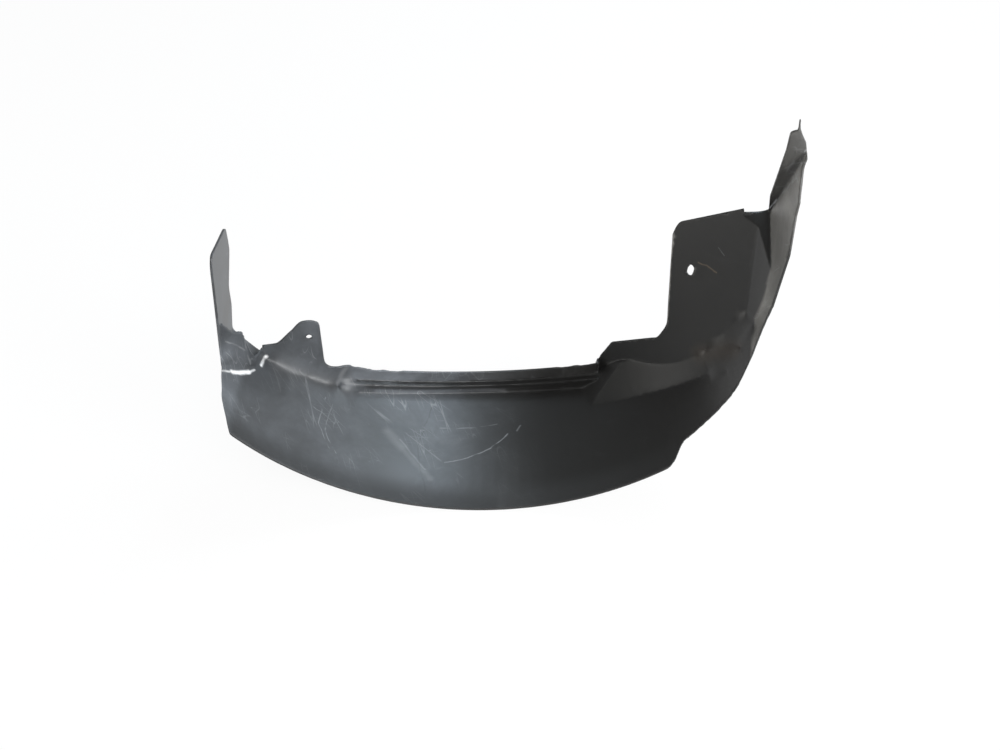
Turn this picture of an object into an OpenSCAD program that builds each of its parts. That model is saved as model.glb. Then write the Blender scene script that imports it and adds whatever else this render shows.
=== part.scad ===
// Wheel arch liner, one formed plastic sheet.
// It lies on its crown with the wheel side up. X runs along the car, Y from the outer edge
// towards the inner wall, Z up. Sizes are in millimetres.
// The sheet is the skin round the space on its wheel side, cut to its outline.

/* [Sheet] */
// Thickness of the sheet
sheet = 2.5; // [2.2:0.1:3]

/* [Arch] */
// Radius of the crown
crown_radius = 360; // [358:1:362]
// Radius of the tighter shoulder below the long leg
shoulder_radius = 230; // [228:1:232]
// Angle from the bottom at which the shoulder starts
shoulder_angle = 45; // [44:0.5:46]
// Slope of the long leg above the level
leg_slope = 84; // [83.5:0.5:84.5]
// Angle from the bottom at which the short leg is folded up
fold_angle = 55; // [54.5:0.5:55.5]
// Inward lean of the short leg
short_leg_lean = 4.2; // [3.5:0.1:5]

/* [Outer edge] */
// Distance of the short leg's edge behind the crown's edge
short_leg_setback = 85; // [82:1:88]
// Distance of the long leg's edge behind the crown's edge
long_leg_setback = 74; // [71:1:77]
// Depth of the jog in the edge below the shoulder
edge_jog = 27; // [24:1:30]

/* [Inner wall] */
// Radius of the inner wall in plan
wall_radius = 421; // [419:1:423]
// Centre of that radius in plan
wall_centre = [15, -213];
// Height of the wall's edge above the crown
wall_height = 29; // [27:0.5:31]
// Height of the step at the wall's foot
step_height = 13; // [11:0.5:15]
// Width of the step's ledge
step_width = 8; // [6:0.5:10]
// Start of the step along X
step_start = -176; // [-178:1:-174]

/* [Screw tab] */
// Turn of the tab's flat wall in plan
tab_turn = 11; // [10:0.5:12]
// Height of that wall beside the tab
tab_wall_height = 130; // [127:1:133]
// Height of the tab's rounded end
tab_height = 159; // [157:1:161]
// Place of the tab's screw hole along X
tab_hole_x = -206; // [-208:1:-204]
// Height of the tab's screw hole
tab_hole_height = 135; // [132:1:138]

/* [Screw holes] */
// Radius of the tab's round hole
tab_hole_radius = 3.5; // [3:0.25:4.5]
// Half the width of the panel's slotted hole
slot_radius = 4.5; // [4:0.25:5]
// Length of the slotted hole from end to end
slot_length = 13; // [11:0.5:15]
// Distance of the slotted hole from the panel's edge beside the long leg
slot_inset = 92.2; // [88:0.2:96]
// Height of the slotted hole up the panel
slot_height = 55.3; // [50:0.1:60]

/* [Side panel] */
// Turn of the panel in plan
panel_turn = 43.2; // [42.9:0.1:43.5]
// Backward lean of the panel
panel_lean = 19.4; // [19.1:0.1:19.7]
// Lower corner of the panel, beside the long leg
panel_corner = [303.5, 106.5, 164.5];

/* [Ramp] */
// Radius of the ramp's hollow face
ramp_radius = 365; // [364:0.5:366]
// Point on the axis of that face
ramp_axis = [-41.4, 120, 392.8];
// Turn of that axis in plan
ramp_turn = 10;
// Rise of that axis
ramp_rise = 29;
// Slope of the ramp's top along the panel
ramp_top_slope = 33.8;
// Lower end of the ramp, towards the middle of the crown
ramp_end = [140, 144, 28];
// Turn of the ramp's end wall in plan
ramp_end_turn = 80;
// Backward lean of the ramp's end wall
ramp_end_lean = 42;

/* [Long leg] */
// Lower end of the narrow strip between the panel and the long leg
bevel_point = [305.6, 105.8, 167];
// Turn and backward lean of the strip's face beside the leg
leg_bevel = [94.4, 12.1];
// Turn and backward lean of the strip's face beside the panel
panel_bevel = [74.5, 10];
// Point on the sloping ledge above the strip
ledge_point = [318, 157, 296];
// Turn of the ledge in plan
ledge_turn = 30;
// Backward lean of the ledge
ledge_lean = 58;
// Point on the flange at the long leg's tip
tip_point = [336, 132, 392];
// Lean of that flange towards the outer edge
tip_lean = 26;

/* [Hidden] */
$fn = 96;
smooth = 256;
arc_steps = 6;
reach = 900;
centre_x = 21.83;
centre_y = 109.46;
panel_start = 150;
tab_start = -262;
ledge_start = 300;
corner_height = 209;
shoulder_x = (crown_radius - shoulder_radius) * sin(shoulder_angle);
shoulder_z = crown_radius - (crown_radius - shoulder_radius) * cos(shoulder_angle);
leg_start = shoulder_z - (shoulder_radius + sheet) * cos(leg_slope);
fold_x = -crown_radius * sin(fold_angle);
fold_z = crown_radius * (1 - cos(fold_angle));
step_depth = sqrt(wall_radius * wall_radius - pow(step_start - wall_centre[0], 2));
tab_wall_y = wall_centre[1] + step_depth;

function unit(v) = v / norm(v);

// Arc that rounds one corner. A corner is [x, y, radius].
function corner_arc(before, here, after) =
    let (
        tip = [here[0], here[1]],
        back = unit([before[0], before[1]] - tip),
        ahead = unit([after[0], after[1]] - tip),
        half = acos(back * ahead) / 2,
        centre = tip + unit(back + ahead) * here[2] / sin(half),
        start = tip + back * here[2] / tan(half) - centre,
        side = sign(back[0] * ahead[1] - back[1] * ahead[0]),
        first = atan2(start[1], start[0]),
        sweep = -side * (180 - 2 * half)
    )
    [for (i = [0:arc_steps])
        centre + here[2] * [cos(first + sweep * i / arc_steps), sin(first + sweep * i / arc_steps)]];

// Outline through the given corners, each rounded by its own radius.
function rounded(corners) = [
    for (i = [0:len(corners) - 1])
        let (
            here = corners[i],
            before = corners[(i + len(corners) - 1) % len(corners)],
            after = corners[(i + 1) % len(corners)]
        )
        each (here[2] == 0 ? [[here[0], here[1]]] : corner_arc(before, here, after))
];

// All the room between two places along X.
module span(from, to) {
    translate([from, -reach, -reach])
        cube([to - from, 2 * reach, 2 * reach]);
}

// All the room in front of an upright plane that is turned in plan and leaned back.
module front_of(point, turn, lean, grow) {
    translate(point)
        rotate([0, 0, -turn])
            rotate([-lean, 0, 0])
                translate([-reach, grow - 2 * reach, -reach])
                    cube(2 * reach);
}

// A straight run of an outline that is drawn as seen from the front.
module from_front(depth) {
    translate([0, depth, 0])
        rotate([90, 0, 0])
            linear_extrude(2 * depth)
                children();
}

// A straight run of an outline that is drawn as seen along X.
module from_side(from, to) {
    translate([from, 0, 0])
        rotate([90, 0, 90])
            linear_extrude(to - from)
                children();
}

// Wheel side of the arch as seen from the front.
module arch_region(grow) {
    intersection() {
        union() {
            translate([0, crown_radius])
                intersection() {
                    circle(r = crown_radius + grow, $fn = smooth);
                    polygon([
                        [0, 0], [reach, -reach / tan(shoulder_angle)],
                        [-reach, -reach], [-reach, reach], [0, reach]
                    ]);
                }
            translate([shoulder_x, shoulder_z])
                circle(r = shoulder_radius + grow, $fn = smooth);
            translate([-reach, leg_start])
                square([2 * reach, reach]);
        }
        translate([shoulder_x, shoulder_z])
            rotate(leg_slope - 90)
                translate([-2 * reach, -reach])
                    square([2 * reach + shoulder_radius + grow, 3 * reach]);
        translate([fold_x, fold_z])
            rotate(-short_leg_lean)
                translate([-grow, -reach])
                    square([2 * reach, 3 * reach]);
    }
}

module arch_space(grow) {
    from_front(reach)
        arch_region(grow);
}

// Round pillar of room in front of the curved inner wall.
module wall_pillar(grow) {
    translate([wall_centre[0], wall_centre[1], -reach])
        cylinder(r = wall_radius + grow, h = 2 * reach, $fn = smooth);
}

// That room less the step along the wall's foot.
module crown_side(grow) {
    difference() {
        wall_pillar(grow);
        difference() {
            span(step_start + grow, reach);
            wall_pillar(grow - step_width);
            translate([0, reach, crown_radius])
                rotate([90, 0, 0])
                    cylinder(r = crown_radius - step_height + grow, h = 2 * reach, $fn = smooth);
        }
    }
}

// Room above the hollow face of the ramp.
module ramp_side(grow) {
    translate(ramp_axis)
        rotate([0, 0, ramp_turn])
            rotate([ramp_rise - 90, 0, 0])
                cylinder(r = ramp_radius + grow, h = 2 * reach, center = true, $fn = smooth);
}

// Solid that the ramp takes out of the room: hollow face on top, flat end wall.
module ramp_bump(grow) {
    difference() {
        intersection() {
            translate(ramp_end)
                rotate([0, 0, -ramp_end_turn])
                    rotate([-ramp_end_lean, 0, 0])
                        translate([-reach, grow, -reach])
                            cube(2 * reach);
            translate(panel_corner)
                rotate([0, 0, -panel_turn])
                    rotate([-panel_lean, 0, 0])
                        rotate([0, -ramp_top_slope, 0])
                            translate([-reach, -reach, -2 * reach - grow])
                                cube(2 * reach);
        }
        ramp_side(grow);
    }
}

// Room above the ledge that joins the panel's top to the long leg.
module ledge_side(grow) {
    intersection() {
        front_of(ledge_point, ledge_turn, ledge_lean, grow);
        front_of(tip_point, 0, -tip_lean, grow);
        span(ledge_start - grow, reach);
    }
}

// Everything behind the flange at the long leg's tip.
module behind_tip(grow) {
    difference() {
        translate([ledge_start, 0, ledge_point[2] + 6])
            cube(reach);
        front_of(tip_point, 0, -tip_lean, grow);
    }
}

// All the room on the wheel side.
module wheel_space(grow) {
    difference() {
        intersection() {
            arch_space(grow);
            union() {
                span(-reach, tab_start);
                intersection() {
                    front_of([step_start, tab_wall_y, 0], -tab_turn, 0, grow);
                    span(tab_start, step_start);
                }
                intersection() {
                    crown_side(grow);
                    span(step_start, panel_start);
                }
                difference() {
                    intersection() {
                        front_of(panel_corner, panel_turn, panel_lean, grow);
                        front_of(bevel_point, leg_bevel[0], leg_bevel[1], grow);
                        front_of(bevel_point, panel_bevel[0], panel_bevel[1], grow);
                        span(panel_start - grow, reach);
                    }
                    behind_tip(grow);
                }
                ledge_side(grow);
            }
        }
        ramp_bump(grow);
    }
}

// What lies in front of the outer edge.
module outer_edge_cut() {
    translate([0, 0, -reach])
        linear_extrude(2 * reach)
            polygon(rounded([
                [-reach, -reach, 0], [-reach, short_leg_setback, 0], [-297, short_leg_setback, 0],
                [-290, 38, 90], [-278, 0, 0],
                [223.5, 0, 12], [236.5, edge_jog, 11], [292, 46, 30], [317, long_leg_setback, 22],
                [reach, long_leg_setback, 0], [reach, -reach, 0]
            ]));
    translate([-reach, -reach, fold_z])
        cube([reach - 200, reach + short_leg_setback, reach]);
}

// What lies beyond the short leg's end and far edge.
module short_leg_cut() {
    from_side(-400, tab_start)
        polygon(rounded([
            [0, 296, 0], [short_leg_setback, 296, 0], [91, 308, 8], [169, 289, 14],
            [178, 252, 18], [155, 214, 20], [160, 184, 24], [151, fold_z - 2, 0],
            [reach, fold_z - 2, 0], [reach, reach, 0], [0, reach, 0]
        ]));
    translate([-400, 151, 0])
        cube([400 + tab_start, reach, fold_z - 1]);
}

// Wall that carries the tab, as seen from the front.
module tab_outline() {
    polygon(rounded([
        [tab_start - 20, -50, 0], [tab_start - 20, tab_wall_height, 0], [-244, tab_wall_height, 14],
        [-214, tab_height + 1, 13], [-192.5, tab_height, 10], [-192, 82, 13], [-166, 78, 30],
        [-138, 60, 0], [-138, -50, 0]
    ]));
}

// What lies above the walls along the crown and the tab.
module wall_edge_cut() {
    translate([0, 95 + reach, 0])
        from_front(reach)
            difference() {
                translate([tab_start, 0])
                    square([panel_start - tab_start, reach]);
                difference() {
                    translate([-164, -50])
                        square([panel_start + 164, 250]);
                    translate([0, crown_radius])
                        circle(r = crown_radius - wall_height, $fn = smooth);
                }
                tab_outline();
            }
}

// Places a drawing made in the panel's own plane, from the panel's lower corner.
module on_panel(depth) {
    translate(panel_corner)
        rotate([0, 0, -panel_turn])
            rotate([90 - panel_lean, 0, 0])
                translate([0, 0, -depth])
                    linear_extrude(depth + 20)
                        children();
}

// What lies beyond the panel's free edges.
module panel_cut() {
    on_panel(60)
        difference() {
            polygon([
                [-reach, -116], [-reach, reach], [-47, reach],
                [-47, 130], [-109, -52], [-176, -116]
            ]);
            polygon(rounded([
                [-180, -119, 0], [-164.5, -80, 10], [-104, -41.5, 13], [-97, -28, 12],
                [-129, 85, 14], [-127, 102, 16], [-49, 154, 6], [0, 170, 0], [0, -120, 0]
            ]));
        }
}

// What lies beyond the flange at the long leg's tip, and beyond the leg's edge below it.
module tip_cut() {
    intersection() {
        front_of(ledge_point, ledge_turn, ledge_lean, 0);
        tip_outline_cut();
    }
    from_side(280, reach)
        polygon(rounded([
            [0, 260, 0], [long_leg_setback, 260, 0], [long_leg_setback + 1, 320, 20],
            [93, 358, 20], [96, 373, 12], [119, 402, 15], [114, 420, 0], [74, 500, 0], [0, 500, 0]
        ]));
}

module tip_outline_cut() {
    translate(tip_point)
        rotate([90 + tip_lean, 0, 0])
            translate([0, 0, -60])
                linear_extrude(68)
                    difference() {
                        union() {
                            translate([-60, -88])
                                square([120, reach]);
                            translate([-37, -98])
                                square([64, reach]);
                        }
                        polygon(rounded([
                            [-9, -99, 0], [-15, -62, 20], [-18.5, 33, 30], [-21.5, 66, 8],
                            [-15, 70, 0], [-18, 88, 0], [-16.5, 90, 0], [-12, 70, 0],
                            [-1, 46, 12], [5, 25, 10], [8, 0, 0], [60, 0, 0], [60, -99, 0]
                        ]));
                    }
}

// Everything well outside the liner.
module outside_cut() {
    difference() {
        cube(4 * reach, center = true);
        from_side(-320, 360)
            polygon([[-10, -20], [240, -20], [240, 320], [178, 345], [120, 480], [-10, 480]]);
    }
}

// Rib that stiffens the corner between the crown and the short leg.
module corner_rib() {
    intersection() {
        translate([0, 0, -reach])
            linear_extrude(2 * reach)
                polygon([
                    [-296, short_leg_setback - 1], [-267, 121], [-260, 151],
                    [-260 - sheet, 151], [-267 - sheet, 122], [-296, short_leg_setback + 3]
                ]);
        arch_space(sheet);
        from_front(reach)
            polygon(rounded([
                [-320, 0, 0], [-320, corner_height, 0], [-289, corner_height, 0], [-282, 188, 6],
                [-274, 180, 8], [-268, 130, 4], [-258, 124, 0], [-258, 0, 0]
            ]));
    }
}

// Holes for the two screws, square to the walls they go through.
module screw_holes() {
    translate([tab_hole_x, tab_wall_y + (tab_hole_x - step_start) * tan(tab_turn), tab_hole_height])
        rotate([90, 0, tab_turn])
            cylinder(r = tab_hole_radius, h = 20, center = true);
    on_panel(20)
        translate([-slot_inset, slot_height])
            union() {
                translate([0, slot_radius - slot_length / 2])
                    circle(r = slot_radius);
                translate([0, slot_length / 2 - slot_radius])
                    circle(r = slot_radius);
                translate([-slot_radius, slot_radius - slot_length / 2])
                    square([2 * slot_radius, slot_length - 2 * slot_radius]);
            }
}

module arch_liner() {
    color([0.06, 0.06, 0.065])
        translate([-centre_x, -centre_y, sheet])
            union() {
                difference() {
                    wheel_space(sheet);
                    wheel_space(0);
                    outer_edge_cut();
                    short_leg_cut();
                    wall_edge_cut();
                    panel_cut();
                    tip_cut();
                    behind_tip(sheet);
                    outside_cut();
                    screw_holes();
                }
                corner_rib();
            }
}

arch_liner();
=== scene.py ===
import math

import bmesh
import bpy
import numpy as np
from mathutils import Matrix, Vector, geometry
from mathutils.bvhtree import BVHTree


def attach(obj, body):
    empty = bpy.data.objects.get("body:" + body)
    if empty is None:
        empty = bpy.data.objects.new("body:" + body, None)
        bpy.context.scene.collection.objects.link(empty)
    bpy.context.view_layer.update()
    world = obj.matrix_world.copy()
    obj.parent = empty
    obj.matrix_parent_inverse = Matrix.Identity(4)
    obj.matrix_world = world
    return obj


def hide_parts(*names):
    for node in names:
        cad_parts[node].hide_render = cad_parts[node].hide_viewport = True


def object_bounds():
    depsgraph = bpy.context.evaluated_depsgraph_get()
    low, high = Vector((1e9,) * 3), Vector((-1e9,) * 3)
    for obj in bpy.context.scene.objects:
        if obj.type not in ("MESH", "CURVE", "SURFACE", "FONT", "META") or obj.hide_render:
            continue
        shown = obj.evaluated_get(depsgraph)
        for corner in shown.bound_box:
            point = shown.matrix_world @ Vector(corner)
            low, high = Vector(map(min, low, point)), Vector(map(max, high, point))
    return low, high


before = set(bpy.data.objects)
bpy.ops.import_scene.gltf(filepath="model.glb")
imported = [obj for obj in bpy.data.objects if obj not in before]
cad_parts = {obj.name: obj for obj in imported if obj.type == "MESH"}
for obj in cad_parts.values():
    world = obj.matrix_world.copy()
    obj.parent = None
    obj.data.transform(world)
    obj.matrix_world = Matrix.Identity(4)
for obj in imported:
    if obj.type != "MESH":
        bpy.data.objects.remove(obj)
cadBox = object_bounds()
scene = bpy.context.scene
scene.view_settings.view_transform = "Standard"

# camera, at the photograph's angle

cameraSetup = {
    "place": (0.003027, -1.045456, 1.093452),
    "tilt": 47.0,             # degrees up from straight down
    "lens": 43.2,
    "sensor": 36.0,
}


def makeCamera():
    data = bpy.data.cameras.new("camera")
    data.lens = cameraSetup["lens"]
    data.sensor_width = cameraSetup["sensor"]
    camera = bpy.data.objects.new("camera", data)
    camera.location = cameraSetup["place"]
    camera.rotation_euler = (math.radians(cameraSetup["tilt"]), 0.0, 0.0)
    scene.collection.objects.link(camera)
    scene.camera = camera
    print("camera placed")


makeCamera()

# the liner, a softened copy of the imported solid

linerShape = {
    "sheet": 0.0025,          # thickness of the sheet
    "crownRadius": 0.36,      # the crown's wheel side
    "mergeGap": 0.00002,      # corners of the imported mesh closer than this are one
    "flatAngle": 0.25,        # faces within this angle are one face, degrees
    "slice": 0.006,           # distance between the cuts across the whole sheet
    "firstCut": 0.62,         # the first cut comes after this share of that distance
    "snap": 0.0007,           # a corner this near to a cut counts as on it
    "steep": 0.72,            # a face is cut across an axis it faces less than this
    "cutGap": 0.0003,         # corners that the cuts leave closer than this are one
    "sliver": 0.0002,         # edges shorter than this are taken out
    "rayStart": 0.0001,       # a look through the sheet starts this far under the face
    "rayReach": 0.05,
    "broadShare": 1.7,        # fewer thicknesses than this behind a face make it a broad side
    "stripAngle": 5.0,        # a strip turned less than this from a broad side is part of it
    "stripRings": 2,          # how many strips wide that goes
    "rimAngle": 20.0,         # a cut edge turns more than this, degrees
    "creaseAngle": 6.0,       # a sharper bend than this is a crease, degrees
    "cornerAngle": 38.0,      # an outline that turns more than this keeps its corner
    "evenShare": 0.5,         # how far a pass moves a point towards the mean of those it follows
    "evenBack": -0.52,        # and back again, so that the curves don't shrink
    "evenRounds": 36,         # passes that take the flats out of the curves
    "creaseRounds": 1,        # passes that round the formed creases
    "creaseReach": 0.004,     # how far from a crease those passes work
    "rimCrisp": 0.8,          # how crisp the cut edges stay
    "creaseCrisp": 0.45,      # how crisp the formed creases stay
    "block": 2000,            # points measured at a time
}

# finer cuts where the shape is small: lowest corner, highest corner, cut distance, axes
fineCuts = [
    ((-0.205, 0.045, 0.0), (0.135, 0.112, 0.075), 0.0025, (1, 2)),
]

# wide soft folds: lowest corner, highest corner, passes, reach
softFolds = [
    ((-0.278, 0.000, 0.020), (-0.180, 0.085, 0.125), 45, 0.030),    # tab wall to crown
    ((-0.205, 0.040, 0.000), (0.135, 0.112, 0.080), 3, 0.005),      # the flange's step
    ((0.238, -0.030, 0.130), (0.300, 0.048, 0.205), 60, 0.014),     # the ramp's top end
]


def isInside(place, low, high):
    return all(low[i] < place[i] < high[i] for i in range(3))


def cutAcross(bm, axis, start, stop, step, low=None, high=None):
    # cuts the faces that run along an axis, at even distances, within a box if one is given
    direction = Vector((0.0, 0.0, 0.0))
    direction[axis] = 1.0
    place = start + step * linerShape["firstCut"]
    while place < stop:
        near = []
        for face in bm.faces:
            if abs(face.normal[axis]) > linerShape["steep"]:
                continue
            values = [v.co[axis] for v in face.verts]
            if min(values) > place or max(values) < place:
                continue
            if low is not None and not isInside(face.calc_center_bounds(), low, high):
                continue
            near.append(face)
        if near:
            edges = list({e for f in near for e in f.edges})
            verts = list({v for f in near for v in f.verts})
            bmesh.ops.bisect_plane(bm, geom=verts + edges + near, dist=linerShape["snap"],
                                   plane_co=direction * place, plane_no=direction)
        place += step


def cutMesh():
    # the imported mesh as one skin, its flat faces joined and then cut at even distances
    bm = bmesh.new()
    bm.from_mesh(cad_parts["arch_liner"].data)
    bmesh.ops.remove_doubles(bm, verts=bm.verts, dist=linerShape["mergeGap"])
    bmesh.ops.dissolve_limit(bm, angle_limit=math.radians(linerShape["flatAngle"]),
                             verts=bm.verts, edges=bm.edges)
    low, high = cadBox
    for axis in range(3):
        cutAcross(bm, axis, low[axis], high[axis], linerShape["slice"])
    for low, high, step, axes in fineCuts:
        for axis in axes:
            cutAcross(bm, axis, low[axis], high[axis], step, low, high)
    bmesh.ops.remove_doubles(bm, verts=bm.verts, dist=linerShape["cutGap"])
    bmesh.ops.dissolve_degenerate(bm, edges=bm.edges, dist=linerShape["sliver"])
    for elements in (bm.verts, bm.edges, bm.faces):
        elements.index_update()
    bm.normal_update()
    print("liner cut into", len(bm.faces), "faces")
    return bm


def findCutFaces(bm):
    # a face with one sheet's thickness behind it is a broad side, and so are the strips beside it
    tree = BVHTree.FromBMesh(bm)
    broad = set()
    for face in bm.faces:
        under = face.calc_center_median() - face.normal * linerShape["rayStart"]
        hit = tree.ray_cast(under, -face.normal, linerShape["rayReach"])
        if hit[0] is not None and hit[3] < linerShape["sheet"] * linerShape["broadShare"]:
            broad.add(face)
    most = math.radians(linerShape["stripAngle"])
    for ring in range(linerShape["stripRings"]):
        grown = set()
        for face in broad:
            for edge in face.edges:
                for other in edge.link_faces:
                    if other not in broad and other.normal.angle(face.normal, math.pi) < most:
                        grown.add(other)
        broad |= grown
    return {f.index for f in bm.faces if f not in broad}


def findLines(bm):
    # which edges are the sheet's cut edges, and which are its formed creases
    cutFaces = findCutFaces(bm)
    rim = np.zeros(len(bm.edges), bool)
    crease = np.zeros(len(bm.edges), bool)
    for edge in bm.edges:
        if len(edge.link_faces) != 2:
            continue
        sides = [f.index in cutFaces for f in edge.link_faces]
        angle = math.degrees(edge.calc_face_angle(0.0))
        if sides[0] != sides[1]:
            rim[edge.index] = angle > linerShape["rimAngle"]
        elif sides[0]:
            rim[edge.index] = angle > linerShape["cornerAngle"]
        else:
            crease[edge.index] = angle > linerShape["creaseAngle"]
    return rim, crease


def lineDegree(places, edges, lines):
    # how many of the lines' edges meet at each point
    return np.bincount(edges[lines].ravel(), minlength=len(places))


def findCorners(places, edges, lines):
    # the points where lines end, meet or turn sharply
    corners = lineDegree(places, edges, lines) != 2
    ways = {}
    for a, b in edges[lines]:
        ways.setdefault(a, []).append(b)
        ways.setdefault(b, []).append(a)
    for vertex, others in ways.items():
        if len(others) == 2:
            one = places[others[0]] - places[vertex]
            two = places[vertex] - places[others[1]]
            lengths = np.linalg.norm(one) * np.linalg.norm(two)
            if one.dot(two) < lengths * math.cos(math.radians(linerShape["cornerAngle"])):
                corners[vertex] = True
    return corners


def whoFollows(places, edges, lines, corners):
    # for each end of each edge, whether it follows the other end: a point off the lines
    # follows all its neighbours, one on a line those along the line, and a corner none
    start = edges.T.ravel()
    onLine = lineDegree(places, edges, lines) > 0
    return ~onLine[start] | (np.tile(lines, 2) & ~corners[start])


def evenOut(places, edges, follow, rounds, shares):
    # each share of a pass moves the points that far towards the mean of those they follow
    first = edges.T.ravel()[follow]
    second = edges[:, ::-1].T.ravel()[follow]
    count = np.bincount(first, minlength=len(places)).astype(float)
    moving = count > 0
    count[~moving] = 1.0
    for turn in range(rounds):
        for share in shares:
            sums = [np.bincount(first, weights=places[second, i], minlength=len(places))
                    for i in range(3)]
            mean = np.stack(sums, axis=1) / count[:, None]
            places[moving] += share * (mean[moving] - places[moving])


def gapsTo(places, points):
    # how far each place is from the nearest of some points
    gaps = []
    for start in range(0, len(places), linerShape["block"]):
        part = places[start:start + linerShape["block"]]
        gaps.append(np.sqrt(((part[:, None, :] - points[None, :, :]) ** 2).sum(2)).min(1))
    return np.concatenate(gaps)


def smoothSheet(places, edges, rim, crease):
    lines = rim | crease
    follow = whoFollows(places, edges, lines, findCorners(places, edges, lines))
    evenOut(places, edges, follow, linerShape["evenRounds"],
            (linerShape["evenShare"], linerShape["evenBack"]))

    # the formed creases go round, the cut edges keep to their own line
    rimDegree = lineDegree(places, edges, rim)
    follow = whoFollows(places, edges, rim, rimDegree != 2)
    start = edges.T.ravel()
    gap = gapsTo(places, places[np.unique(edges[crease])])
    near = gap < linerShape["creaseReach"]
    shares = (linerShape["evenShare"],)
    evenOut(places, edges, follow & near[start], linerShape["creaseRounds"], shares)
    for low, high, rounds, reach in softFolds:
        near = (gap < reach) & (rimDegree == 0)
        near &= (places > np.array(low)).all(1) & (places < np.array(high)).all(1)
        evenOut(places, edges, follow & near[start], rounds, shares)


def setCrispness(bm, rim, crease):
    # how crisp each edge stays when the mesh is subdivided
    level = bm.edges.layers.float.new("crease_edge")
    for edge in bm.edges:
        middle = (edge.verts[0].co + edge.verts[1].co) / 2
        soft = any(isInside(middle, low, high) for low, high, rounds, reach in softFolds)
        if rim[edge.index]:
            edge[level] = linerShape["rimCrisp"]
        elif crease[edge.index] and not soft:
            edge[level] = linerShape["creaseCrisp"]


# dust and painted light on the liner, as a share of the surface: a pale layer that is partly dust and
# partly painted sheen, reflection and highlight, and is cut back where shade is painted
dustAndPaintedLight = {
    "most": 0.205,            # on the crown's left end: dust and painted sheen
    "least": 0.008,           # on its right end, left nearly bare black
    "longLeg": 0.66,          # more on the long leg's steep inner face: dust and painted reflection
    "longLegEnds": 1.50,      # times this at the face's two ends
    "longLegMiddle": 0.72,    # and this less between them
    "tip": 0.20,              # more at the long leg's tip: dust and painted light
    "wall": 0.15,             # more on the tab's upright wall: dust and painted light
    "shortLegLess": 0.28,     # this share less on the short leg
    "lipShade": 0.60,          # painted shade: this share less on the outer lip
    "patch": 0.12,            # painted sheen on a patch of the crown
    "sheenPatchWidth": 0.045,
    "foldShade": 0.55,         # painted shade: this share less along the fold below the tab
    "foldShadeWidth": 0.016,
    "root": 0.20,             # more at the short leg's root
    "flange": 0.30,           # painted light on the back flange, with its dust
    "flangeLess": 0.85,       # this share less of it at the bare end
    "stepShade": 0.75,         # painted shade: this share less on the step below the flange
    "foot": 0.22,             # painted highlight along the foot of that step
    "footHighlightWidth": 0.0045,
    "footLift": 0.005,        # that foot's height over the crown in the middle
    "footSlope": 0.067,       # and how it rises towards the long leg
}

# where each of these sets in and where it is full: a place, or how far the surface faces an axis
dustAndPaintedLightRange = {
    "bareEnd": (-0.12, 0.07),             # x
    "longLegFace": (-0.950, -0.985),       # facing x
    "longLegStart": (0.22, 0.29),          # z, into the face's middle
    "longLegStop": (0.365, 0.390),         # z, and out of it
    "tip": (0.315, 0.375),                 # z
    "wallFace": (-0.55, -0.85),            # facing y
    "wallPlace": (-0.17, -0.20),           # x
    "shortLeg": (0.190, 0.210),            # z
    "lip": (-0.070, -0.104),               # y
    "rootPlace": (-0.285, -0.300),         # x
    "rootStart": (0.128, 0.140),           # z
    "rootStop": (0.195, 0.170),            # z
    "flangePlace": (0.055, 0.062),         # y
    "flangeStart": (-0.195, -0.185),       # x
    "flangeStop": (0.135, 0.110),          # x
    "flangeHeight": (0.0100, 0.0125),      # over the step's foot
    "stepStart": (0.0020, 0.0045),         # over the step's foot
    "stepStop": (0.0120, 0.0100),          # over the step's foot
}

# lines on the surface along which a painted highlight, painted sheen and painted shade are laid, to the
# millimetre
# painted highlight along the foot of the flange's step
stepFootHighlight = [
    (-0.156, 0.063, 0.032), (-0.120, 0.074, 0.019), (-0.101, 0.080, 0.014), (-0.075, 0.085, 0.010),
    (-0.049, 0.088, 0.008), (-0.023, 0.090, 0.007), (0.008, 0.090, 0.007),
]
# painted sheen: a patch of the crown made lighter where the lamp's sheen falls
sheenPatch = [
    (-0.065, 0.065, 0.006), (-0.125, 0.050, 0.018), (-0.080, 0.030, 0.009), (-0.065, -0.010, 0.006),
    (-0.100, -0.060, 0.011),
]
# painted shade along the fold below the tab
tabFoldShade = [
    (-0.275, 0.038, 0.113), (-0.256, 0.042, 0.092), (-0.233, 0.046, 0.074), (-0.211, 0.050, 0.056),
]


def smoothShare(value, start, stop):
    share = min(1.0, max(0.0, (value - start) / (stop - start)))
    return share * share * (3.0 - 2.0 * share)


def within(name, value):
    return smoothShare(value, *dustAndPaintedLightRange[name])


def nearLine(place, line, width):
    # 1 on a line through some points, and 0 at its width from it
    points = [Vector(point) for point in line]
    gaps = []
    for a, b in zip(points, points[1:]):
        foot, share = geometry.intersect_point_line(place, a, b)
        if share < 0.0:
            foot = a
        elif share > 1.0:
            foot = b
        gaps.append((place - foot).length)
    return 1.0 - smoothShare(min(gaps), 0.0, width)


def heightOverFoot(x, z):
    # how high a point lies over the foot of the flange's step, which follows the crown
    radius = linerShape["crownRadius"]
    crown = radius + linerShape["sheet"] - math.sqrt(max(0.0, radius ** 2 - x * x))
    return z - crown - dustAndPaintedLight["footLift"] - dustAndPaintedLight["footSlope"] * x


# the share of dust and painted light at a point: painted sheen on the crown's left end, painted reflection
# and light on the long leg, its tip, the tab's wall and the back flange, painted shade on the lip, along
# the tab's fold and on the step, and a painted highlight along the step's foot
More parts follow.
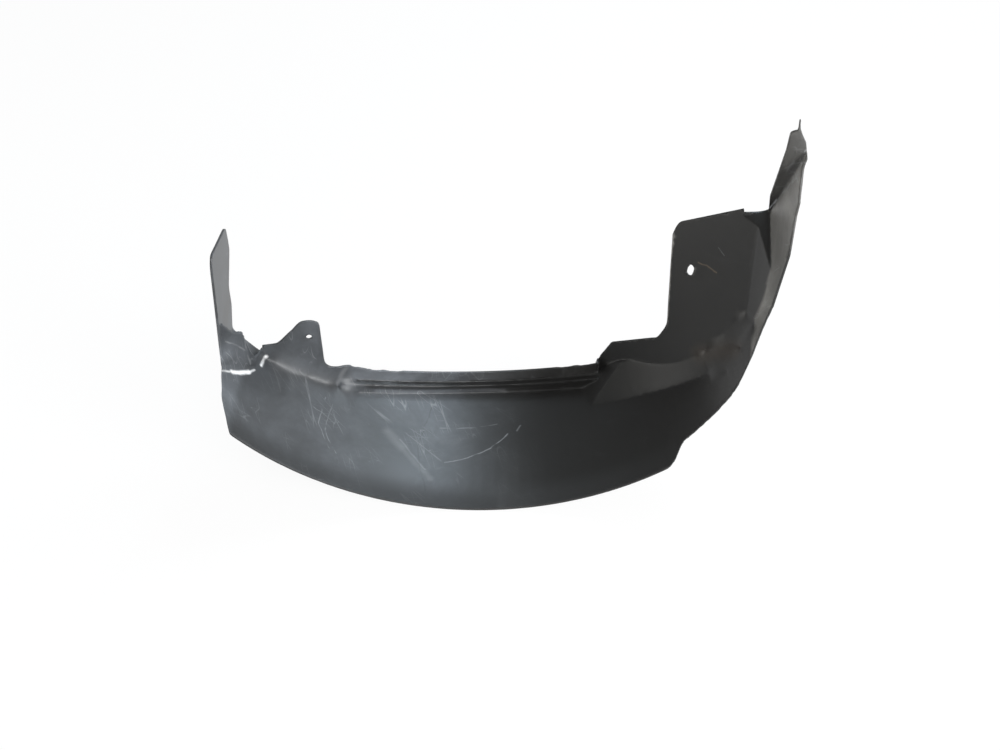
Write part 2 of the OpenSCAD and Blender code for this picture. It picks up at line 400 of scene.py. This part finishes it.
def dustAndPaintedLightAt(place, facing):
    x, y, z = place
    bareShare = within("bareEnd", x)
    share = dustAndPaintedLight["most"] + (dustAndPaintedLight["least"] - dustAndPaintedLight["most"]) * bareShare
    if x > 0.0:
        middle = within("longLegStart", z) * (1.0 - within("longLegStop", z))
        along = dustAndPaintedLight["longLegEnds"] - dustAndPaintedLight["longLegMiddle"] * middle
        share += dustAndPaintedLight["longLeg"] * within("longLegFace", facing.x) * along
        share += dustAndPaintedLight["tip"] * within("tip", z)
    else:
        share += dustAndPaintedLight["wall"] * within("wallFace", facing.y) * within("wallPlace", x)
        share *= 1.0 - dustAndPaintedLight["shortLegLess"] * within("shortLeg", z)
        share *= 1.0 - dustAndPaintedLight["lipShade"] * within("lip", y)
        share += dustAndPaintedLight["patch"] * nearLine(place, sheenPatch, dustAndPaintedLight["sheenPatchWidth"])
        share *= 1.0 - dustAndPaintedLight["foldShade"] * nearLine(place, tabFoldShade, dustAndPaintedLight["foldShadeWidth"])
        share += dustAndPaintedLight["root"] * within("rootPlace", x) * within("rootStart", z) * within("rootStop", z)
    over = heightOverFoot(x, z)
    flange = within("flangePlace", y) * within("flangeStart", x) * within("flangeStop", x)
    share += dustAndPaintedLight["flange"] * flange * within("flangeHeight", over) * (1.0 - dustAndPaintedLight["flangeLess"] * bareShare)
    share *= 1.0 - dustAndPaintedLight["stepShade"] * flange * within("stepStart", over) * within("stepStop", over)
    return share + dustAndPaintedLight["foot"] * nearLine(place, stepFootHighlight, dustAndPaintedLight["footHighlightWidth"])


# each corner's share of dust and painted light
def layDustAndPaintedLight(bm):
    level = bm.verts.layers.float.new("dustAndPaintedLightLevel")
    for vertex in bm.verts:
        vertex[level] = dustAndPaintedLightAt(vertex.co, vertex.normal)


def makeLiner():
    bm = cutMesh()
    rim, crease = findLines(bm)
    edges = np.array([[v.index for v in edge.verts] for edge in bm.edges])
    places = np.array([v.co[:] for v in bm.verts])
    smoothSheet(places, edges, rim, crease)
    places = np.clip(places, *np.array(cadBox))
    for vertex in bm.verts:
        vertex.co = places[vertex.index]
    bm.normal_update()
    layDustAndPaintedLight(bm)
    setCrispness(bm, rim, crease)
    for face in bm.faces:
        face.smooth = True
    mesh = bpy.data.meshes.new("archLinerSheet")
    bm.to_mesh(mesh)
    bm.free()
    liner = bpy.data.objects.new("archLinerSheet", mesh)
    scene.collection.objects.link(liner)
    finer = liner.modifiers.new("finer", "SUBSURF")
    finer.levels = 1
    finer.render_levels = 1
    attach(liner, "root")
    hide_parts("arch_liner")
    print("liner shaped")
    return liner


liner = makeLiner()

# shader helpers and groups


def addNode(tree, kind, settings=None, inputs=None):
    # an input is given a value, or the output of another node
    node = tree.nodes.new(kind)
    for name, value in (settings or {}).items():
        setattr(node, name, value)
    for name, value in (inputs or {}).items():
        if isinstance(value, bpy.types.NodeSocket):
            tree.links.new(value, node.inputs[name])
        else:
            node.inputs[name].default_value = value
    return node


def addNoise(tree, inputs):
    return addNode(tree, "ShaderNodeTexNoise", inputs=inputs).outputs[0]


def addRange(tree, inputs, kind="LINEAR"):
    return addNode(tree, "ShaderNodeMapRange", {"interpolation_type": kind}, inputs).outputs["Result"]


def addMath(tree, operation, *values, clamp=False):
    settings = {"operation": operation, "use_clamp": clamp}
    return addNode(tree, "ShaderNodeMath", settings, dict(enumerate(values))).outputs[0]


def addVectorMath(tree, operation, inputs, output="Vector"):
    return addNode(tree, "ShaderNodeVectorMath", {"operation": operation}, inputs).outputs[output]


def mixColour(tree, share, first, second):
    mix = addNode(tree, "ShaderNodeMix", {"data_type": "RGBA"}, {0: share, 6: first, 7: second})
    return mix.outputs[2]


def newGroup(name, vectors, numbers):
    # a group with some vector and number inputs, which puts out one mask
    group = bpy.data.node_groups.new(name, "ShaderNodeTree")
    for label in vectors:
        group.interface.new_socket(name=label, in_out="INPUT", socket_type="NodeSocketVector")
    for label in numbers:
        group.interface.new_socket(name=label, in_out="INPUT", socket_type="NodeSocketFloat")
    group.interface.new_socket(name="Mask", in_out="OUTPUT", socket_type="NodeSocketFloat")
    return group, group.nodes.new("NodeGroupInput").outputs


def endGroup(group, mask):
    addNode(group, "NodeGroupOutput", inputs={"Mask": mask})
    return group


def buildHazeGroup():
    # patches of dust: a broad noise broken up by a finer one
    group, given = newGroup("dustHaze", ["Vector"], ["Scale", "Start", "End"])
    finer = 11.0
    broad = addNoise(group, {"Vector": given["Vector"], "Scale": given["Scale"],
                             "Detail": 6.0, "Roughness": 0.62, "Distortion": 0.4})
    fineScale = addMath(group, "MULTIPLY", given["Scale"], finer)
    fine = addNoise(group, {"Vector": given["Vector"], "Scale": fineScale, "Detail": 3.0, "Roughness": 0.6})
    fade = addRange(group, {"Value": broad, "From Min": given["Start"], "From Max": given["End"]},
                    "SMOOTHSTEP")
    breakUp = addRange(group, {"Value": fine, "From Min": 0.25, "From Max": 0.75,
                               "To Min": 0.7, "To Max": 1.15})
    return endGroup(group, addMath(group, "MULTIPLY", fade, breakUp, clamp=True))


def buildScratchGroup():
    # thin wandering lines, where a stretched noise passes its middle value
    group, given = newGroup("fineScratches", ["Vector", "Stretch", "Turn"], ["Width", "Sparse"])
    middle = 0.5
    patchEdge = 0.09
    turned = addNode(group, "ShaderNodeVectorRotate", {"rotation_type": "EULER_XYZ"},
                     {"Vector": given["Vector"], "Rotation": given["Turn"]}).outputs[0]
    stretched = addVectorMath(group, "MULTIPLY", {0: turned, 1: given["Stretch"]})
    lines = addNoise(group, {"Vector": stretched, "Scale": 1.0, "Detail": 0.0})
    off = addMath(group, "ABSOLUTE", addMath(group, "SUBTRACT", lines, middle))
    thin = addRange(group, {"Value": off, "From Min": 0.0, "From Max": given["Width"],
                            "To Min": 1.0, "To Max": 0.0})
    where = addNoise(group, {"Vector": given["Vector"], "Scale": 26.0, "Detail": 1.0})
    patch = addRange(group, {"Value": where, "From Min": given["Sparse"],
                             "From Max": addMath(group, "ADD", given["Sparse"], patchEdge)})
    return endGroup(group, addMath(group, "MULTIPLY", thin, patch, clamp=True))


def buildStrokeGroup():
    # a mark along a straight line between two points, full on the line and gone at its width
    group, given = newGroup("strokeMark", ["Vector", "From", "To"], ["Width", "Strength"])
    along = addVectorMath(group, "SUBTRACT", {0: given["To"], 1: given["From"]})
    offset = addVectorMath(group, "SUBTRACT", {0: given["Vector"], 1: given["From"]})
    reached = addVectorMath(group, "DOT_PRODUCT", {0: offset, 1: along}, "Value")
    whole = addVectorMath(group, "DOT_PRODUCT", {0: along, 1: along}, "Value")
    share = addMath(group, "DIVIDE", reached, whole, clamp=True)
    foot = addVectorMath(group, "SCALE", {0: along, "Scale": share})
    gap = addVectorMath(group, "DISTANCE", {0: offset, 1: foot}, "Value")
    return endGroup(group, addRange(group, {
        "Value": gap, "From Min": 0.0, "From Max": given["Width"],
        "To Min": given["Strength"], "To Max": 0.0}, "SMOOTHSTEP"))


hazeGroup = buildHazeGroup()
scratchGroup = buildScratchGroup()
strokeGroup = buildStrokeGroup()

# plastic

plastic = {
    "colour": (0.0120, 0.0118, 0.0112, 1.0),
    # the cool colour is dust with the bluish sheen of the window painted into it
    "dustAndSheenColour": (0.230, 0.250, 0.275, 1.0),
    "warmDustAndSheen": (0.345, 0.333, 0.310, 1.0),
    "warmFrom": -0.06,        # along x, the dust and painted sheen turn from the cool colour to the warm one
    "warmTo": 0.12,
    "scuffAndHighlightColour": (0.42, 0.43, 0.44, 1.0),
    "foldHighlightColour": (0.86, 0.86, 0.85, 1.0),     # painted highlight along the fold at the short leg's foot
    "mudColour": (0.110, 0.080, 0.055, 1.0),
    "roughness": 0.36,
    "dustRoughness": 0.62,
    "lipRoughness": 0.22,     # the outer lip is this much duller
    "lipFrom": -0.062,        # along y
    "lipTo": -0.100,
    "hazeScale": 11.0,        # the patches of dust and painted light
    "hazeStart": 0.34,
    "hazeEnd": 0.68,
    "hazeBase": 0.58,         # share of the dust and painted light between its patches
    "hazeMore": 0.65,         # and how much more in them
    "scratchShare": 0.85,     # how strongly the fine scratches show where dust and painted light are full
    "wanderScale": 60.0,      # marks wander a little, as a hand or a stone makes them
    "wander": 0.005,
    "grain": 0.06,
    "grainScale": 900.0,
    "grainDepth": 0.0004,
    "waves": 0.10,
    "waveScale": 16.0,
    "waveDepth": 0.004,
}

# layers of fine scratches: stretch along each axis, turn, width, how sparse
fineScratches = [
    ((4.0, 62.0, 12.0), (0.0, 0.0, 0.75), 0.0070, 0.50),
    ((70.0, 5.0, 14.0), (0.0, 0.0, -0.30), 0.0070, 0.52),
    ((6.0, 88.0, 20.0), (0.1, 0.2, 1.25), 0.0080, 0.55),
    ((5.0, 95.0, 16.0), (0.0, 0.1, -0.15), 0.0075, 0.56),
]

# marks: the points that each runs through, to the millimetre, then its width and strength
# pale scratches; the rib's right edge, the long leg's tip edge and the step's left end are painted
# highlights
paleMarksAndHighlights = [
    ([(-0.065, -0.036, 0.005), (-0.037, -0.027, 0.003), (-0.009, -0.010, 0.003),
      (0.013, 0.013, 0.004)], 0.0014, 0.42),
    ([(-0.073, 0.022, 0.006), (-0.035, 0.025, 0.003), (-0.001, 0.032, 0.003)], 0.0013, 0.20),
    ([(-0.121, -0.009, 0.017), (-0.108, -0.026, 0.013), (-0.089, -0.052, 0.009)], 0.0024, 0.24),
    ([(-0.137, 0.000, 0.021), (-0.127, -0.011, 0.018), (-0.118, -0.022, 0.016)], 0.0110, 0.16),
    ([(-0.118, -0.022, 0.016), (-0.095, -0.050, 0.010), (-0.082, -0.065, 0.008)], 0.0070, 0.12),
    ([(-0.229, 0.001, 0.068), (-0.215, -0.002, 0.059), (-0.199, -0.013, 0.049)], 0.0011, 0.22),
    ([(-0.213, 0.024, 0.060), (-0.216, -0.024, 0.060), (-0.201, -0.056, 0.050)], 0.0011, 0.24),
    ([(-0.204, 0.018, 0.053), (-0.208, -0.030, 0.056), (-0.193, -0.060, 0.047)], 0.0011, 0.20),
    ([(0.254, 0.066, 0.257), (0.261, 0.058, 0.252)], 0.0011, 0.16),
    ([(0.024, 0.018, 0.005), (0.029, 0.026, 0.006)], 0.0020, 0.36),
    ([(-0.310, -0.016, 0.186), (-0.302, -0.006, 0.172), (-0.296, 0.003, 0.156)], 0.0015, 0.30),
    # painted highlight along the rib's right edge
    ([(-0.294, 0.004, 0.167), (-0.294, 0.005, 0.147), (-0.293, 0.006, 0.131)], 0.0018, 0.28),
    # painted highlight along the lit edge of the long leg's tip
    ([(0.315, 0.007, 0.426), (0.316, 0.011, 0.406), (0.313, 0.019, 0.384), (0.311, 0.034, 0.359),
      (0.307, 0.052, 0.333), (0.304, 0.060, 0.317)], 0.0016, 0.50),
    # painted highlight on a small lit facet at the step's left end
    ([(-0.203, 0.052, 0.055), (-0.196, 0.053, 0.067), (-0.189, 0.057, 0.077)], 0.0050, 0.22),
]
mudMarks = [
    ([(0.235, 0.072, 0.232), (0.244, 0.064, 0.233), (0.254, 0.054, 0.231)], 0.0016, 0.75),
    ([(0.242, 0.018, 0.135), (0.261, 0.002, 0.154), (0.275, -0.012, 0.169)], 0.0200, 0.20),
]
# painted highlight along the fold at the short leg's foot, and a second streak beside it
foldHighlightMarks = [
    ([(-0.317, -0.033, 0.156), (-0.308, -0.023, 0.145)], 0.0022, 0.60),
    ([(-0.308, -0.023, 0.145), (-0.302, -0.015, 0.136), (-0.294, -0.004, 0.127)], 0.0044, 1.0),
    ([(-0.294, -0.004, 0.127), (-0.290, 0.005, 0.122)], 0.0028, 0.7),
    ([(-0.284, 0.020, 0.117), (-0.281, 0.036, 0.116)], 0.0036, 0.85),
]
darkMarks = [
    ([(-0.081, 0.070, 0.007), (-0.092, 0.026, 0.009), (-0.099, -0.017, 0.011),
      (-0.095, -0.053, 0.010), (-0.086, -0.085, 0.008)], 0.0015, 0.32),
    ([(0.234, 0.066, 0.218), (0.240, 0.064, 0.224)], 0.0130, 0.8),
    # the last two are painted shade in the dark slivers beside the short leg
    ([(-0.313, 0.039, 0.202), (-0.315, 0.017, 0.187)], 0.0070, 0.75),
    ([(-0.309, -0.025, 0.275), (-0.311, -0.024, 0.230)], 0.0050, 0.55),
]


def strongest(tree, masks):
    last = masks[0]
    for mask in masks[1:]:
        last = addMath(tree, "MAXIMUM", last, mask)
    return last


def addStrokes(tree, surface, place, marks):
    # the strongest of many strokes, each drawn on the surface nearest to its points
    masks = []
    for given, width, strength in marks:
        points = [surface.find_nearest(Vector(point))[0] for point in given]
        for start, stop in zip(points, points[1:]):
            stroke = addNode(tree, "ShaderNodeGroup", {"node_tree": strokeGroup}, {
                "Vector": place, "From": start, "To": stop, "Width": width, "Strength": strength})
            masks.append(stroke.outputs["Mask"])
    return strongest(tree, masks)


def addScratches(tree, place):
    masks = []
    for stretch, turn, width, sparse in fineScratches:
        layer = addNode(tree, "ShaderNodeGroup", {"node_tree": scratchGroup}, {
            "Vector": place, "Stretch": stretch, "Turn": turn, "Width": width, "Sparse": sparse})
        masks.append(layer.outputs["Mask"])
    return strongest(tree, masks)


def addWander(tree, place):
    # the place, moved a little by a noise
    noise = addNode(tree, "ShaderNodeTexNoise", inputs={
        "Vector": place, "Scale": plastic["wanderScale"], "Detail": 2.0})
    centred = addVectorMath(tree, "SUBTRACT", {0: noise.outputs["Color"], 1: (0.5, 0.5, 0.5)})
    small = addVectorMath(tree, "SCALE", {0: centred, "Scale": plastic["wander"]})
    return addVectorMath(tree, "ADD", {0: small, 1: place})


def addBumps(tree, place):
    # fine grain over broad, shallow waves
    waves = addNoise(tree, {"Vector": place, "Scale": plastic["waveScale"], "Detail": 1.0})
    grain = addNoise(tree, {"Vector": place, "Scale": plastic["grainScale"], "Detail": 2.0})
    waveBump = addNode(tree, "ShaderNodeBump", inputs={
        "Strength": plastic["waves"], "Distance": plastic["waveDepth"], "Height": waves})
    grainBump = addNode(tree, "ShaderNodeBump", inputs={
        "Strength": plastic["grain"], "Distance": plastic["grainDepth"], "Height": grain,
        "Normal": waveBump.outputs[0]})
    return grainBump.outputs[0]


def makePlastic(mesh):
    material = bpy.data.materials.new("satinBlackPlastic")
    material.use_nodes = True
    tree = material.node_tree
    shader = tree.nodes["Principled BSDF"]
    surface = BVHTree.FromPolygons([v.co for v in mesh.vertices], [f.vertices for f in mesh.polygons])
    place = addNode(tree, "ShaderNodeTexCoord").outputs["Object"]
    axes = addNode(tree, "ShaderNodeSeparateXYZ", inputs={0: place}).outputs

    # dust and painted light lie in patches: cool blue-grey on the crown's left, where it stands for the
    # bluish sheen of the window, and warmer towards the long leg
    level = addNode(tree, "ShaderNodeAttribute", {"attribute_name": "dustAndPaintedLightLevel"}).outputs["Fac"]
    haze = addNode(tree, "ShaderNodeGroup", {"node_tree": hazeGroup}, {
        "Vector": place, "Scale": plastic["hazeScale"],
        "Start": plastic["hazeStart"], "End": plastic["hazeEnd"]}).outputs["Mask"]
    spread = addMath(tree, "MULTIPLY_ADD", haze, plastic["hazeMore"], plastic["hazeBase"])
    dustAndLightMask = addMath(tree, "MULTIPLY", level, spread, clamp=True)
    warm = addRange(tree, {"Value": axes["X"],
                           "From Min": plastic["warmFrom"], "From Max": plastic["warmTo"]})
    dustAndSheenColour = mixColour(tree, warm, plastic["dustAndSheenColour"], plastic["warmDustAndSheen"])

    # fine scratches show only where the dust and painted light lie
    fineShare = addMath(tree, "MULTIPLY", dustAndLightMask, plastic["scratchShare"])
    fine = addMath(tree, "MULTIPLY", addScratches(tree, place), fineShare, clamp=True)

    loose = addWander(tree, place)
    paleAndHighlight = addMath(tree, "MULTIPLY", addStrokes(tree, surface, loose, paleMarksAndHighlights), spread)
    mud = addStrokes(tree, surface, loose, mudMarks)
    foldHighlight = addStrokes(tree, surface, loose, foldHighlightMarks)
    dark = addStrokes(tree, surface, loose, darkMarks)

    dustAndLightMask = addMath(tree, "MULTIPLY", dustAndLightMask, addMath(tree, "SUBTRACT", 1.0, dark))
    # scuffs, and the painted highlights among the pale marks
    scuffAndHighlight = addMath(tree, "MAXIMUM", fine, paleAndHighlight)
    # dust and painted light over the black plastic
    colour = mixColour(tree, dustAndLightMask, plastic["colour"], dustAndSheenColour)
    colour = mixColour(tree, scuffAndHighlight, colour, plastic["scuffAndHighlightColour"])
    colour = mixColour(tree, mud, colour, plastic["mudColour"])
    # the painted highlight along the fold at the short leg's foot
    colour = mixColour(tree, foldHighlight, colour, plastic["foldHighlightColour"])
    tree.links.new(colour, shader.inputs["Base Color"])

    rough = addRange(tree, {"Value": addMath(tree, "MAXIMUM", dustAndLightMask, scuffAndHighlight),
                            "To Min": plastic["roughness"], "To Max": plastic["dustRoughness"]})
    lip = addRange(tree, {"Value": axes["Y"], "From Min": plastic["lipFrom"], "From Max": plastic["lipTo"],
                          "To Min": 0.0, "To Max": plastic["lipRoughness"]}, "SMOOTHSTEP")
    tree.links.new(addMath(tree, "ADD", rough, lip), shader.inputs["Roughness"])
    tree.links.new(addBumps(tree, place), shader.inputs["Normal"])
    return material


liner.data.materials.append(makePlastic(liner.data))
print("plastic made")

# floor, world and lights

studio = {
    "floorSize": 14.0,
    "floorColour": (0.9, 0.9, 0.9, 1.0),
    "floorWhite": 0.93,       # how much of the floor's white is its own
    "white": (1.0, 1.0, 1.0, 1.0),
    "ambient": 0.30,
    "ambientLeft": 0.6,       # times this on the short leg's side
    "ambientRight": 1.7,      # and this on the long leg's side
    "turnFrom": -0.5,         # the world's directions between which it changes
    "turnTo": 0.6,
}


def makeFloor():
    bm = bmesh.new()
    bmesh.ops.create_grid(bm, x_segments=1, y_segments=1, size=studio["floorSize"] / 2)
    mesh = bpy.data.meshes.new("floor")
    bm.to_mesh(mesh)
    bm.free()
    floor = bpy.data.objects.new("floor", mesh)
    scene.collection.objects.link(floor)
    material = bpy.data.materials.new("paleFloor")
    material.use_nodes = True
    tree = material.node_tree
    tree.nodes.clear()
    matte = addNode(tree, "ShaderNodeBsdfDiffuse", inputs={"Color": studio["floorColour"]})
    glow = addNode(tree, "ShaderNodeEmission", inputs={"Strength": 1.0})
    path = addNode(tree, "ShaderNodeLightPath").outputs
    seen = strongest(tree, [path["Is Camera Ray"], path["Is Glossy Ray"], path["Is Transmission Ray"]])
    share = addMath(tree, "MULTIPLY", seen, studio["floorWhite"])
    mix = addNode(tree, "ShaderNodeMixShader", inputs={0: share, 1: matte.outputs[0], 2: glow.outputs[0]})
    addNode(tree, "ShaderNodeOutputMaterial", inputs={"Surface": mix.outputs[0]})
    mesh.materials.append(material)
    print("floor laid")


def makeWorld():
    world = bpy.data.worlds.new("studioWorld")
    scene.world = world
    world.use_nodes = True
    tree = world.node_tree
    tree.nodes.clear()
    direction = addNode(tree, "ShaderNodeTexCoord").outputs["Generated"]
    axes = addNode(tree, "ShaderNodeSeparateXYZ", inputs={0: direction}).outputs
    light = addRange(tree, {
        "Value": axes["X"], "From Min": studio["turnFrom"], "From Max": studio["turnTo"],
        "To Min": studio["ambient"] * studio["ambientLeft"],
        "To Max": studio["ambient"] * studio["ambientRight"]}, "SMOOTHSTEP")
    room = addNode(tree, "ShaderNodeBackground", inputs={"Color": studio["white"], "Strength": light})
    white = addNode(tree, "ShaderNodeBackground", inputs={"Color": studio["white"], "Strength": 1.0})
    path = addNode(tree, "ShaderNodeLightPath").outputs
    seen = addMath(tree, "MAXIMUM", path["Is Camera Ray"], path["Is Transmission Ray"])
    mix = addNode(tree, "ShaderNodeMixShader", inputs={0: seen, 1: room.outputs[0], 2: white.outputs[0]})
    addNode(tree, "ShaderNodeOutputWorld", inputs={"Surface": mix.outputs[0]})
    print("world made")


# name, place, aims at, width, height, watts, colour
lamps = [
    ("highWindow", (0.95, 0.98, 1.96), (-0.08, 0.0, 0.03), 0.7, 0.9, 16.5, (0.80, 0.91, 1.0)),
    ("backPane", (0.43, 1.38, 1.70), (-0.09, 0.0, 0.01), 0.30, 0.50, 10.0, (0.74, 0.88, 1.0)),
    ("sideWindow", (1.60, 1.45, 1.15), (-0.15, 0.0, 0.05), 1.5, 1.1, 2.0, (0.93, 0.97, 1.0)),
    ("frontKey", (0.36, -1.50, 1.68), (0.0, 0.05, 0.1), 0.6, 0.5, 17.0, (0.98, 0.99, 1.0)),
    ("frontRight", (1.50, -1.30, 0.95), (-0.1, 0.05, 0.1), 1.0, 1.0, 44.0, (0.98, 0.99, 1.0)),
    ("leftFill", (-1.70, -0.15, 0.65), (0.1, 0.0, 0.2), 0.8, 0.6, 6.0, (1.0, 0.985, 0.95)),
]


def makeLamps():
    for name, place, target, width, height, watts, colour in lamps:
        data = bpy.data.lights.new(name, "AREA")
        data.shape = "RECTANGLE"
        data.size = width
        data.size_y = height
        data.energy = watts
        data.color = colour
        lamp = bpy.data.objects.new(name, data)
        lamp.location = place
        lamp.rotation_euler = (Vector(target) - Vector(place)).to_track_quat("-Z", "Y").to_euler()
        scene.collection.objects.link(lamp)
    print("lamps placed")


makeFloor()
makeWorld()
makeLamps()
